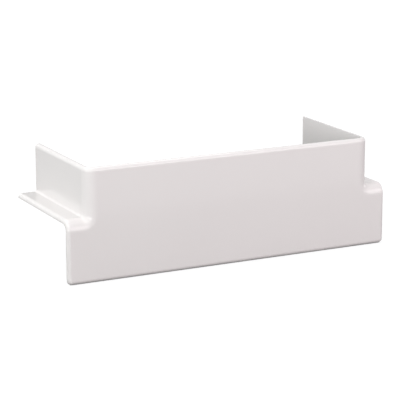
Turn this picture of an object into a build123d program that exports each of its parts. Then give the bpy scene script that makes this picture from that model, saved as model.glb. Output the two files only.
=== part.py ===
from build123d import *
import os

# One-piece cover for a flat tee joint in rectangular wall trunking, in millimetres.
# The frame is the mounted one: the wall is the plane Y = 0, the cover stands out from it
# towards -Y, the main run lies along X and the branch leaves upwards along +Z. The origin is
# on the wall, on the branch's centre line, level with the cover's bottom edge.

# The trunking that the cover goes over
trunking_width = 150.0
trunking_depth = 60.0
side_clearance = 0.3
front_clearance = 0.8

# The moulding
wall = 2.2
lap_height = 31.3
collar_rise = 24.3
wing_width = 9.6
inner_roll_radius = 3.3
inside_corner_radius = 1.2
rim_radius = 1.9
foot_corner_land = 0.3

# The noses inside the collar, which snap behind the edges of the branch trunking
nose_length = 8.0
nose_height = 0.6
nose_lead_in = 2.4
nose_crest = 0.6
nose_catch = 0.6
nose_setback = 3.5

# How far the hollow runs past the open sides
overrun = 5.0

# Sizes that follow from those above
passage_half_width = trunking_width / 2 + side_clearance
collar_half_width = passage_half_width + wall
run_half_width = collar_half_width + wing_width
cavity_depth = trunking_depth + front_clearance
cover_depth = cavity_depth + wall
cover_height = lap_height + collar_rise


def tee_block(half_widths, heights, front, back, corner_radius, roll_radius):
    """A T-shaped block between two depths, upside down so that its bar is at the bottom. Both
    inside corners are rounded, and the front edges of the stem's sides and the bar's shoulders
    are rolled in one run through those corners. The half widths are the stem's and the bar's,
    and the heights are those of the bar's foot, its shoulders and the stem's top."""
    stem, bar = half_widths
    foot, shoulder, top = heights
    with BuildPart() as block:
        with BuildSketch(Plane.XZ.offset(front)):
            with BuildLine():
                Polyline(
                    (-bar, foot),
                    (bar, foot),
                    (bar, shoulder),
                    (stem, shoulder),
                    (stem, top),
                    (-stem, top),
                    (-stem, shoulder),
                    (-bar, shoulder),
                    close=True,
                )
            make_face()
        extrude(amount=back - front)

        shoulder_edges = block.edges().filter_by(Axis.Y).group_by(Axis.Z)[1]
        inside_corners = shoulder_edges.sort_by(lambda edge: abs(edge.center().X))[:2]
        fillet(inside_corners, corner_radius)

        front_edges = block.faces().sort_by(Axis.Y)[0].edges()
        by_height = front_edges.group_by(Axis.Z)
        by_side = front_edges.group_by(Axis.X)
        open_edges = by_height[0] + by_height[-1] + by_side[0] + by_side[-1]
        fillet(front_edges - open_edges, roll_radius)
    return block.part


# The moulding's outer form, and the hollow that leaves an even wall behind it
outer_block = tee_block(
    (collar_half_width, run_half_width),
    (0, lap_height, cover_height),
    cover_depth,
    0,
    inside_corner_radius,
    inner_roll_radius + wall,
)
hollow_block = tee_block(
    (passage_half_width, run_half_width + overrun),
    (-overrun, lap_height - wall, cover_height + overrun),
    cavity_depth,
    -overrun,
    inside_corner_radius + wall,
    inner_roll_radius,
)

# The cover
with BuildPart() as tee_cover:
    add(outer_block)

    # The front plate's lower corners, a little rounder than the rim that runs through them
    foot_corners = tee_cover.edges().filter_by(Axis.Y).group_by(Axis.Z)[0]
    fillet(foot_corners, rim_radius + foot_corner_land)

    # Rounded rims: from the plate's lowest edge up both ends and back along the shelves, and
    # from its highest edge back along both side walls, always on to the next tangent edge
    plate_edges = tee_cover.faces().sort_by(Axis.Y)[0].edges().sort_by(Axis.Z)
    fillet([plate_edges[0], plate_edges[-1]], rim_radius)

    add(hollow_block, mode=Mode.SUBTRACT)

    # A snap nose on the inside of each side wall, just above the shelf and near the wall:
    # a long lead-in for pushing the cover on, a crest and a steep catch
    with BuildSketch(Plane.XY.offset(lap_height + wall)):
        with BuildLine():
            Polyline(
                (passage_half_width + wall / 2, -nose_setback),
                (passage_half_width, -nose_setback),
                (passage_half_width - nose_height, -nose_setback - nose_lead_in),
                (passage_half_width - nose_height, -nose_setback - nose_lead_in - nose_crest),
                (passage_half_width, -nose_setback - nose_lead_in - nose_crest - nose_catch),
                (passage_half_width + wall / 2, -nose_setback - nose_lead_in - nose_crest - nose_catch),
                close=True,
            )
        make_face()
        mirror(about=Plane.YZ)
    extrude(amount=nose_length)

tee_cover.part.label = "tee_cover"
os.makedirs("parts", exist_ok=True)
export_step(tee_cover.part, "parts/tee_cover.step")
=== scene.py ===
import math

import bpy
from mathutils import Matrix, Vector

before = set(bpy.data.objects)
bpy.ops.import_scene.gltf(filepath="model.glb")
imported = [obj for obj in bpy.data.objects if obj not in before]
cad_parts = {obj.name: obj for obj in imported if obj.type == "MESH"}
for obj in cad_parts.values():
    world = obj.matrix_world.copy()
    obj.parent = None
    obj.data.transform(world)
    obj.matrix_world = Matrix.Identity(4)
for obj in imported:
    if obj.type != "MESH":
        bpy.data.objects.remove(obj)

# The one moulding of the tee cover, in a studio with a pale floor. All lengths are in metres,
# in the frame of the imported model: the wall is the plane Y = 0, the front faces -Y, +Z is up.
# Azimuths and elevations are in degrees. Azimuth 0 is in front of the cover, 90 on its right
# and 180 behind it.

NODE = "tee_cover"

NEUTRAL = (1.0, 1.0, 1.0)
WHITE = (1.0, 1.0, 1.0, 1.0)
BLACK = (0.0, 0.0, 0.0, 1.0)

# The camera, fitted to the edges of the cover in the photograph
CAMERA_AIM = (-0.0179, -0.063, 0.0341)
CAMERA_AZIMUTH = -26.8
CAMERA_ELEVATION = 13.9
CAMERA_DISTANCE = 0.864
CAMERA_LENS_MM = 161.3

# The moulded plastic, with slight clouds in its colour and gloss, and a very fine grain
PLASTIC_COLOUR = (0.765, 0.74, 0.735)
PLASTIC_COLOUR_SPREAD = 0.012
PLASTIC_ROUGHNESS = (0.10, 0.14)
PLASTIC_IOR = 1.49
CLOUD_SCALE = 28.0
CLOUD_DETAIL = 3.0
GRAIN_SCALE = 1400.0
GRAIN_DETAIL = 2.0
GRAIN_HEIGHT = 0.000004
GRAIN_STRENGTH = 0.25

# The floor: its grey under the light, and its own glow to the camera, which grows to full white
# between two distances from the origin
FLOOR_HALF_SIZE = 6.0
FLOOR_GREY = (0.25, 0.25, 0.25, 1.0)
FLOOR_GLOW = 0.8
FLOOR_FADE = (0.3, 0.8)

# The painted contact shadow under the cover: how near the cover has to be to darken the floor's
# glow, and the share of open space above a point from which its glow is whole
CONTACT_SHADOW_REACH = 0.004
CONTACT_SHADOW_OPENNESS = 0.4

# The sky's strength as a light. Where it is seen, it is plain white.
SKY_LIGHT = 0.25

# The soft boxes: name, azimuth, elevation, distance, width, height, brightness, colour
LAMP_TARGET = (0.0, -0.03, 0.03)
LAMPS = (
    ("strip_front_left", -60.0, 6.0, 1.6, 2.0, 0.3, 7.0, NEUTRAL),
    ("box_front_left", -60.0, 45.0, 0.8, 1.0, 0.5, 1.9, (0.96, 1.0, 0.98)),
    ("box_front_right", 30.0, 18.0, 0.8, 0.8, 0.45, 2.8, (1.0, 0.91, 0.94)),
    ("box_overhead_back", 180.0, 65.0, 1.5, 1.6, 1.2, 1.9, NEUTRAL),
    ("strip_back", 180.0, 7.0, 1.6, 0.6, 0.5, 3.0, NEUTRAL),
    ("strip_right", 95.0, 8.0, 1.6, 0.6, 0.5, 2.0, NEUTRAL),
    ("box_back_left", -140.0, 30.0, 1.6, 1.8, 1.2, 0.35, NEUTRAL),
)

# The cards that only the gloss sees, which paint reflections: a pale sheet for the floor, a dark
# patch on it where the cover stands that paints the reflection of its shadow, and a dim upright
# card behind that paints a darker reflection. Each has a name, its lowest and highest corners,
# and its glow.
CARDS = (
    ("floor_reflection_card", (-1.5, -1.5, 0.0001), (1.5, 1.5, 0.0001), 0.65),
    ("shadow_reflection_card", (-0.132, -0.18, 0.0002), (0.15, 0.3, 0.0002), 0.1),
    ("dark_reflection_card", (0.35, 1.5, 0.0), (0.75, 1.5, 0.47), 0.3),
)


def add_node(tree, kind, **sockets):
    """A new shader node with values set on its input sockets by name."""
    node = tree.nodes.new(kind)
    for name, value in sockets.items():
        node.inputs[name.replace("_", " ")].default_value = value
    return node


def remap(tree, source, low, high, start=0.0, end=1.0):
    """The output that goes from low to high while its source goes from start to end."""
    node = add_node(
        tree,
        "ShaderNodeMapRange",
        From_Min=start,
        From_Max=end,
        To_Min=low,
        To_Max=high,
    )
    tree.links.new(source, node.inputs["Value"])
    return node.outputs["Result"]


def combine(tree, operation, first, second):
    """The output that is the sum or product of two others, held between 0 and 1."""
    node = tree.nodes.new("ShaderNodeMath")
    node.operation = operation
    node.use_clamp = True
    tree.links.new(first, node.inputs[0])
    tree.links.new(second, node.inputs[1])
    return node.outputs["Value"]


def seen_rays(tree):
    """The output that is 1 for camera, glossy and transmission rays, and 0 for all others."""
    path = tree.nodes.new("ShaderNodeLightPath")
    shown = combine(tree, "ADD", path.outputs["Is Camera Ray"], path.outputs["Is Glossy Ray"])
    return combine(tree, "ADD", shown, path.outputs["Is Transmission Ray"])


def new_material(name):
    """A new material and its shader."""
    material = bpy.data.materials.new(name)
    material.use_nodes = True
    return material, material.node_tree.nodes["Principled BSDF"]


def scaled(colour, factor):
    """A colour made lighter or darker by a factor, with its alpha."""
    return tuple(channel * factor for channel in colour) + (1.0,)


def plastic_material():
    """Off-white gloss plastic: slight clouds in colour and gloss, and a very fine grain."""
    material, shader = new_material("moulding_gloss_plastic")
    tree = material.node_tree
    shader.inputs["IOR"].default_value = PLASTIC_IOR

    place = tree.nodes.new("ShaderNodeTexCoord").outputs["Object"]
    clouds = add_node(tree, "ShaderNodeTexNoise", Scale=CLOUD_SCALE, Detail=CLOUD_DETAIL)
    tree.links.new(place, clouds.inputs["Vector"])
    grain = add_node(tree, "ShaderNodeTexNoise", Scale=GRAIN_SCALE, Detail=GRAIN_DETAIL)
    tree.links.new(place, grain.inputs["Vector"])

    shades = tree.nodes.new("ShaderNodeValToRGB")
    dark, light = shades.color_ramp.elements
    dark.color = scaled(PLASTIC_COLOUR, 1.0 - PLASTIC_COLOUR_SPREAD)
    light.color = scaled(PLASTIC_COLOUR, 1.0 + PLASTIC_COLOUR_SPREAD)
    tree.links.new(clouds.outputs["Fac"], shades.inputs["Fac"])
    tree.links.new(shades.outputs["Color"], shader.inputs["Base Color"])

    roughness = remap(tree, clouds.outputs["Fac"], *PLASTIC_ROUGHNESS)
    tree.links.new(roughness, shader.inputs["Roughness"])

    bump = add_node(tree, "ShaderNodeBump", Strength=GRAIN_STRENGTH, Distance=GRAIN_HEIGHT)
    tree.links.new(grain.outputs["Fac"], bump.inputs["Height"])
    tree.links.new(bump.outputs["Normal"], shader.inputs["Normal"])
    return material


def floor_material():
    """Pale floor: white to the camera, a plain grey to the light, and a painted contact shadow in
    narrow gaps.
    """
    material, shader = new_material("floor")
    tree = material.node_tree
    shader.inputs["Base Color"].default_value = FLOOR_GREY
    shader.inputs["Roughness"].default_value = 1.0
    shader.inputs["Specular IOR Level"].default_value = 0.0
    shader.inputs["Emission Color"].default_value = WHITE

    distance = tree.nodes.new("ShaderNodeVectorMath")
    distance.operation = "LENGTH"
    place = tree.nodes.new("ShaderNodeTexCoord").outputs["Object"]
    tree.links.new(place, distance.inputs[0])
    glow = remap(tree, distance.outputs["Value"], FLOOR_GLOW, 1.0, *FLOOR_FADE)

    # Painted contact shadow: the floor's glow is darkened where the cover is near
    contact_shadow = add_node(tree, "ShaderNodeAmbientOcclusion", Distance=CONTACT_SHADOW_REACH)
    openness = remap(tree, contact_shadow.outputs["AO"], 0.0, 1.0, end=CONTACT_SHADOW_OPENNESS)

    seen_glow = combine(tree, "MULTIPLY", seen_rays(tree), glow)
    strength = combine(tree, "MULTIPLY", seen_glow, openness)
    tree.links.new(strength, shader.inputs["Emission Strength"])
    return material


def card_material(name, glow):
    """A card's plain glow, with no colour or gloss of its own."""
    material, shader = new_material(name)
    shader.inputs["Base Color"].default_value = BLACK
    shader.inputs["Specular IOR Level"].default_value = 0.0
    shader.inputs["Emission Color"].default_value = WHITE
    shader.inputs["Emission Strength"].default_value = glow
    return material


def stage_rectangle(name, low, high, material):
    """A flat or upright rectangle between two opposite corners."""
    left, near, bottom = low
    right, far, top = high
    corners = [(left, near, bottom), (right, near, bottom), (right, far, top), (left, far, top)]
    mesh = bpy.data.meshes.new(name)
    mesh.from_pydata(corners, [], [(0, 1, 2, 3)])
    mesh.materials.append(material)
    rectangle = bpy.data.objects.new(name, mesh)
    bpy.context.collection.objects.link(rectangle)
    return rectangle


def add_floor():
    """A large flat floor that the cover's bottom edge stands on."""
    half = FLOOR_HALF_SIZE
    stage_rectangle("floor", (-half, -half, 0.0), (half, half, 0.0), floor_material())


def add_sky():
    """An even sky: soft light on the cover, plain white where it is seen."""
    world = bpy.data.worlds.new("studio")
    world.use_nodes = True
    tree = world.node_tree
    sky = tree.nodes["Background"]
    sky.inputs["Color"].default_value = WHITE
    strength = remap(tree, seen_rays(tree), SKY_LIGHT, 1.0)
    tree.links.new(strength, sky.inputs["Strength"])
    bpy.context.scene.world = world


def place_facing(thing, target, azimuth, elevation, distance):
    """Puts a lamp or a camera at a distance from its target, and turns it towards the target."""
    level = math.cos(math.radians(elevation))
    outward = Vector((
        math.sin(math.radians(azimuth)) * level,
        -math.cos(math.radians(azimuth)) * level,
        math.sin(math.radians(elevation)),
    ))
    thing.location = Vector(target) + outward * distance
    thing.rotation_euler = (-outward).to_track_quat("-Z", "Y").to_euler()
    bpy.context.collection.objects.link(thing)


def add_lamp(name, azimuth, elevation, distance, width, height, brightness, colour):
    """A soft box that faces the cover. Its power follows its area, and its brightness doesn't."""
    lamp = bpy.data.lights.new(name, "AREA")
    lamp.shape = "RECTANGLE"
    lamp.size = width
    lamp.size_y = height
    lamp.color = colour
    lamp.energy = brightness * math.pi * width * height
    holder = bpy.data.objects.new(name, lamp)
    place_facing(holder, LAMP_TARGET, azimuth, elevation, distance)


def add_card(name, low, high, glow):
    """A plain card that shows in the cover's gloss alone as a painted reflection, and neither
    lights nor shades it.
    """
    card = stage_rectangle(name, low, high, card_material(name, glow))
    card.visible_camera = False
    card.visible_diffuse = False
    card.visible_transmission = False
    card.visible_shadow = False


def add_camera():
    """The photograph's camera, aimed at the front plate a little left of its middle."""
    data = bpy.data.cameras.new("camera")
    data.lens = CAMERA_LENS_MM
    camera = bpy.data.objects.new("camera", data)
    place_facing(camera, CAMERA_AIM, CAMERA_AZIMUTH, CAMERA_ELEVATION, CAMERA_DISTANCE)
    bpy.context.scene.camera = camera


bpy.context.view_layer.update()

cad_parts[NODE].material_slots[0].material = plastic_material()

add_floor()
add_sky()
for lamp_settings in LAMPS:
    add_lamp(*lamp_settings)
for card_settings in CARDS:
    add_card(*card_settings)
add_camera()
bpy.context.scene.view_settings.view_transform = "Standard"
